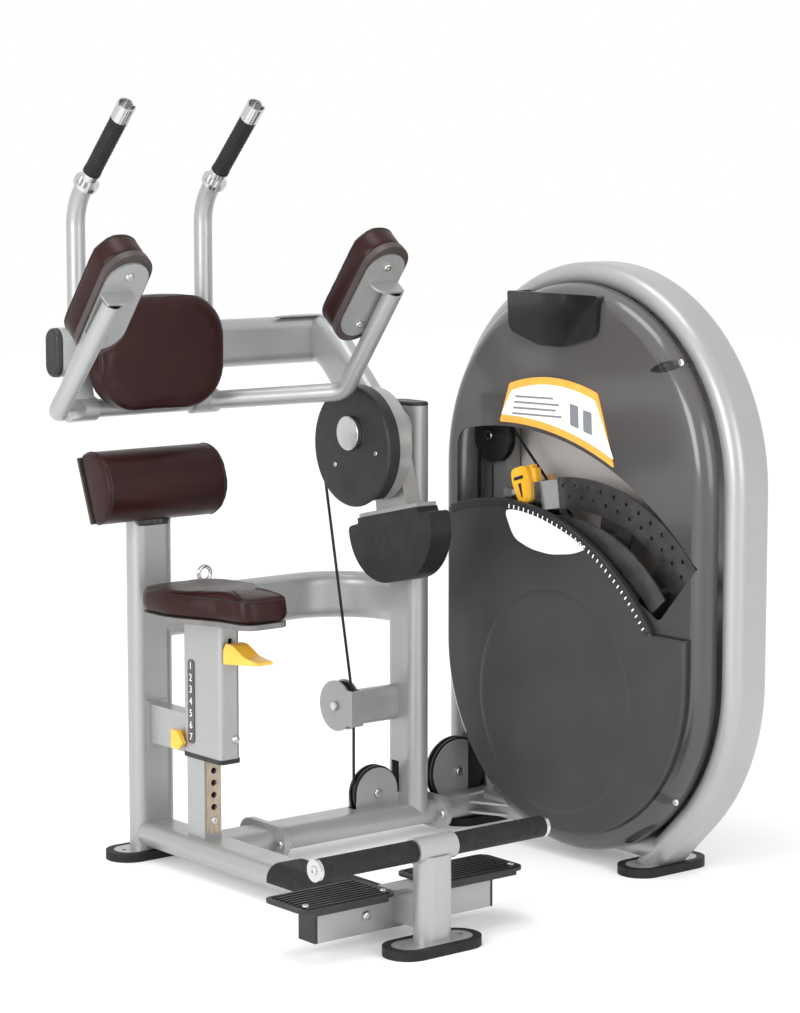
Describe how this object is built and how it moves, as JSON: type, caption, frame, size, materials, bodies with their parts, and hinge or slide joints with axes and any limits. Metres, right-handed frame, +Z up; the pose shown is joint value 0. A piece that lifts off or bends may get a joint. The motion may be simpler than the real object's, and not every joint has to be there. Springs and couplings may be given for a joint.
{
  "type": "ab crunch machine",
  "caption": "Seated abdominal crunch machine: silver frame, brown pads, overhead handles, and a rounded side tower with a sliding-weight lever.",
  "frame": {"origin": "On the floor under the middle of the back post, where its rubber foot rests.", "axes": "+X towards the weight tower, -Y is where the user faces, +Z up."},
  "size_m": [1.2099, 1.056, 1.5599],
  "materials": {
    "frame_paint": "satin",
    "bright_steel": "polished",
    "tan_plate": "satin",
    "black_rubber": "matte",
    "black_plastic": "matte",
    "black_iron": "satin",
    "brown_leather": "satin",
    "brown_board": "matte",
    "grey_plastic": "matte",
    "yellow_plastic": "gloss",
    "smoke_plastic": "gloss",
    "label_card": "matte",
    "dark_steel": "satin"
  },
  "bodies": {
    "base": {"base_rail": "frame_paint", "back_post": "frame_paint", "frame_plates": "frame_paint", "link_stubs": "frame_paint", "cross_beam": "frame_paint", "front_post": "frame_paint", "side_rail": "frame_paint", "main_post": "frame_paint", "upper_tube": "frame_paint", "seat_post": "frame_paint", "pulley_brackets": "frame_paint", "tower_hoop": "frame_paint", "tower_base_tube": "frame_paint", "tower_uprights": "frame_paint", "foot_bar": "bright_steel", "frame_hardware": "bright_steel", "hole_plate": "tan_plate", "rubber_feet": "black_rubber", "heel_guard": "black_rubber", "foot_steps": "black_plastic", "end_caps": "black_plastic", "nameplate_housing": "black_plastic", "rear_cover": "black_plastic", "cable": "black_rubber", "lumbar_plate": "brown_board", "lumbar_pad": "brown_leather", "seat_pointer": "yellow_plastic", "shroud": "smoke_plastic", "lower_cover": "smoke_plastic", "label_plates": "label_card"},
    "moving_arm": {"arm_frame": "frame_paint", "cam_disc": "frame_paint", "cam_cover_upper": "black_plastic", "cam_cover_lower": "black_plastic", "counterweight": "black_iron", "handle_posts": "frame_paint", "handle_grips": "black_rubber", "u_bar": "frame_paint", "pad_plates": "frame_paint", "arm_boards": "brown_board", "arm_pad_left": "brown_leather", "arm_pad_right": "brown_leather", "back_pad": "brown_leather", "arm_end_cap": "black_plastic", "arm_hardware": "bright_steel"},
    "weight_arm": {"weight_lever": "dark_steel", "guide_tracks": "dark_steel"},
    "selector": {"selector_carriage": "bright_steel"},
    "knob": {"selector_knob": "yellow_plastic"},
    "seat": {"seat_carriage": "frame_paint", "carriage_trim": "black_plastic", "seat_plate": "grey_plastic", "seat_pad": "brown_leather"},
    "seat_latch": {"seat_lever": "yellow_plastic"},
    "mid_wheel": {"mid_pulley": "black_plastic"},
    "low_wheel": {"low_pulley": "black_plastic"},
    "tower_wheel": {"tower_pulley": "black_plastic"},
    "top_wheel": {"top_pulley": "black_plastic"},
    "roller_left": {"foot_roller_left": "black_rubber"},
    "roller_right": {"foot_roller_right": "black_rubber"}
  },
  "joints": [
    {"name": "arm_pivot", "type": "hinge", "parent": "base", "child": "moving_arm", "pos_m": [0.44, -0.205, 0.874], "axis": [1, 0, 0], "range_deg": [0, 45]},
    {"name": "weight_pivot", "type": "hinge", "parent": "base", "child": "weight_arm", "pos_m": [0.72, -0.545, 0.325], "axis": [1, 0, 0], "range_deg": [-24.88, 0]},
    {"name": "selector_slide", "type": "hinge", "parent": "weight_arm", "child": "selector", "pos_m": [0.69, -0.545, 0.325], "axis": [1, 0, 0], "range_deg": [0, 56]},
    {"name": "knob_push", "type": "slide", "parent": "selector", "child": "knob", "axis": [1, 0, 0], "range_m": [-0.002, 0]},
    {"name": "seat_height", "type": "slide", "parent": "base", "child": "seat", "axis": [0, 0, 1], "range_m": [0, 0.15]},
    {"name": "seat_release", "type": "hinge", "parent": "seat", "child": "seat_latch", "pos_m": [0, -0.273, 0.468], "axis": [1, 0, 0], "range_deg": [-14, 0]},
    {"name": "mid_spin", "type": "hinge", "parent": "base", "child": "mid_wheel", "pos_m": [0.386, -0.146, 0.289], "axis": [1, 0, 0], "continuous": true},
    {"name": "low_spin", "type": "hinge", "parent": "base", "child": "low_wheel", "pos_m": [0.438, -0.19, 0.102], "axis": [0, 1, 0], "continuous": true},
    {"name": "tower_spin", "type": "hinge", "parent": "base", "child": "tower_wheel", "pos_m": [0.663, -0.19, 0.118], "axis": [0, 1, 0], "continuous": true},
    {"name": "top_spin", "type": "hinge", "parent": "base", "child": "top_wheel", "pos_m": [0.731, -0.242, 0.85], "axis": [1, 0, 0], "continuous": true},
    {"name": "left_roller_spin", "type": "hinge", "parent": "base", "child": "roller_left", "pos_m": [0.155, -0.922, 0.192], "axis": [1, 0, 0], "continuous": true},
    {"name": "right_roller_spin", "type": "hinge", "parent": "base", "child": "roller_right", "pos_m": [-0.155, -0.922, 0.192], "axis": [1, 0, 0], "continuous": true}
  ],
  "couplings": [
    {"joint": "weight_pivot", "follows": "arm_pivot", "ratio": -0.54167},
    {"joint": "mid_spin", "follows": "arm_pivot", "ratio": -2.9545},
    {"joint": "low_spin", "follows": "arm_pivot", "ratio": 2.5},
    {"joint": "tower_spin", "follows": "arm_pivot", "ratio": 1.9118},
    {"joint": "top_spin", "follows": "arm_pivot", "ratio": -2.5}
  ]
}
